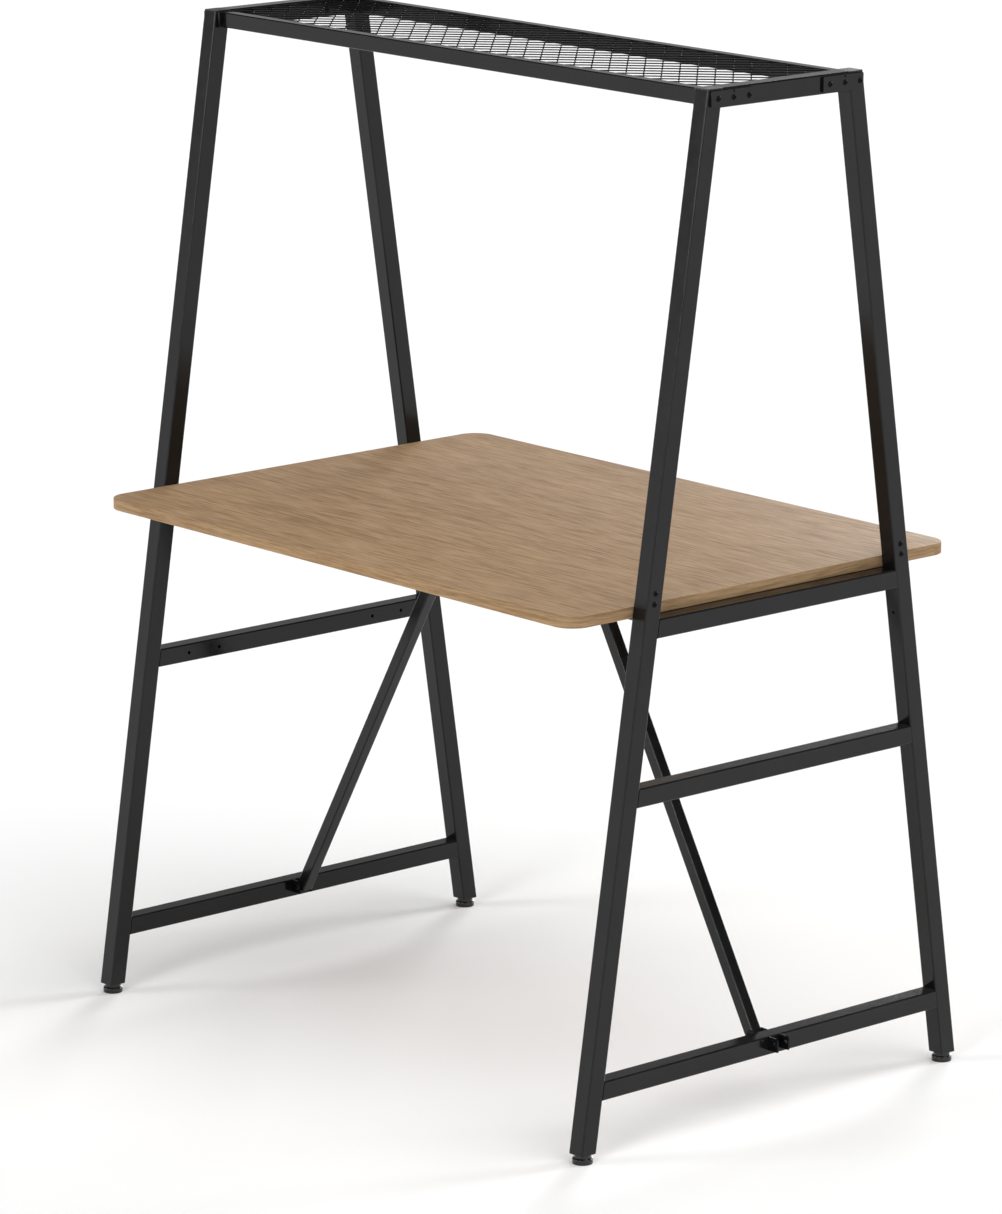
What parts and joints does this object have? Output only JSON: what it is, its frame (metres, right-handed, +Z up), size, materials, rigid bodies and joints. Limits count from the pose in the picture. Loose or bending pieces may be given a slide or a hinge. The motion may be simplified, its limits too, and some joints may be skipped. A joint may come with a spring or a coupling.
{
  "type": "work table",
  "caption": "Freestanding work table with leaning steel side frames, a wood-decor board, diagonal braces, an overhead wire shelf and levelling feet.",
  "frame": {"origin": "on the floor, under the middle of the board", "axes": "+X to the user's right along the board, +Y from the front edge to the rear edge, +Z up"},
  "size_m": [1.2265, 0.8096, 1.6245],
  "materials": {
    "powder_coated_steel": "semi-gloss black powder coat with a fine texture",
    "oak_decor_board": "light oak decor with a satin surface, grain along the board",
    "black_plastic": "satin black",
    "glossy_black_plastic": "glossy black",
    "black_fixings": "black coated steel",
    "black_wire": "black powder coat over round wire",
    "zinc_plated_steel": "zinc plated"
  },
  "bodies": {
    "frame": {"tabletop": "oak_decor_board", "front_beam": "powder_coated_steel", "rear_beam": "powder_coated_steel", "beam_end_plates": "powder_coated_steel", "board_ledges": "powder_coated_steel", "beam_screws": "black_fixings", "board_screws": "black_fixings", "brace_top_plates": "powder_coated_steel", "brace_bolts": "black_fixings", "brace_nuts": "black_fixings", "shelf_front_rail": "powder_coated_steel", "shelf_rear_rail": "powder_coated_steel", "shelf_end_brackets": "powder_coated_steel", "shelf_screws": "black_fixings", "shelf_wires": "black_wire", "joint_screws": "black_fixings", "left_bottom_rail": "powder_coated_steel", "left_middle_rail": "powder_coated_steel", "left_upper_rail": "powder_coated_steel", "left_brace": "powder_coated_steel", "left_fork_lugs": "powder_coated_steel", "shelf_left_rail": "powder_coated_steel", "right_bottom_rail": "powder_coated_steel", "right_middle_rail": "powder_coated_steel", "right_upper_rail": "powder_coated_steel", "right_brace": "powder_coated_steel", "right_fork_lugs": "powder_coated_steel", "shelf_right_rail": "powder_coated_steel", "front_left_leg": "powder_coated_steel", "front_left_post": "powder_coated_steel", "front_left_sleeve": "powder_coated_steel", "front_left_leg_plug": "black_plastic", "front_left_post_cap": "black_plastic", "front_left_corner_plate": "powder_coated_steel", "front_right_leg": "powder_coated_steel", "front_right_post": "powder_coated_steel", "front_right_sleeve": "powder_coated_steel", "front_right_leg_plug": "black_plastic", "front_right_post_cap": "black_plastic", "front_right_corner_plate": "powder_coated_steel", "rear_left_leg": "powder_coated_steel", "rear_left_post": "powder_coated_steel", "rear_left_sleeve": "powder_coated_steel", "rear_left_leg_plug": "black_plastic", "rear_left_post_cap": "black_plastic", "rear_left_corner_plate": "powder_coated_steel", "rear_right_leg": "powder_coated_steel", "rear_right_post": "powder_coated_steel", "rear_right_sleeve": "powder_coated_steel", "rear_right_leg_plug": "black_plastic", "rear_right_post_cap": "black_plastic", "rear_right_corner_plate": "powder_coated_steel"},
    "front_left_foot": {"front_left_foot_pad": "glossy_black_plastic", "front_left_foot_stud": "zinc_plated_steel"},
    "front_right_foot": {"front_right_foot_pad": "glossy_black_plastic", "front_right_foot_stud": "zinc_plated_steel"},
    "rear_left_foot": {"rear_left_foot_pad": "glossy_black_plastic", "rear_left_foot_stud": "zinc_plated_steel"},
    "rear_right_foot": {"rear_right_foot_pad": "glossy_black_plastic", "rear_right_foot_stud": "zinc_plated_steel"}
  },
  "joints": [
    {"name": "front_left_foot_height", "type": "slide", "parent": "frame", "child": "front_left_foot", "axis": [0, 0, -1], "range_m": [0, 0.012]},
    {"name": "front_right_foot_height", "type": "slide", "parent": "frame", "child": "front_right_foot", "axis": [0, 0, -1], "range_m": [0, 0.012]},
    {"name": "rear_left_foot_height", "type": "slide", "parent": "frame", "child": "rear_left_foot", "axis": [0, 0, -1], "range_m": [0, 0.012]},
    {"name": "rear_right_foot_height", "type": "slide", "parent": "frame", "child": "rear_right_foot", "axis": [0, 0, -1], "range_m": [0, 0.012]}
  ]
}
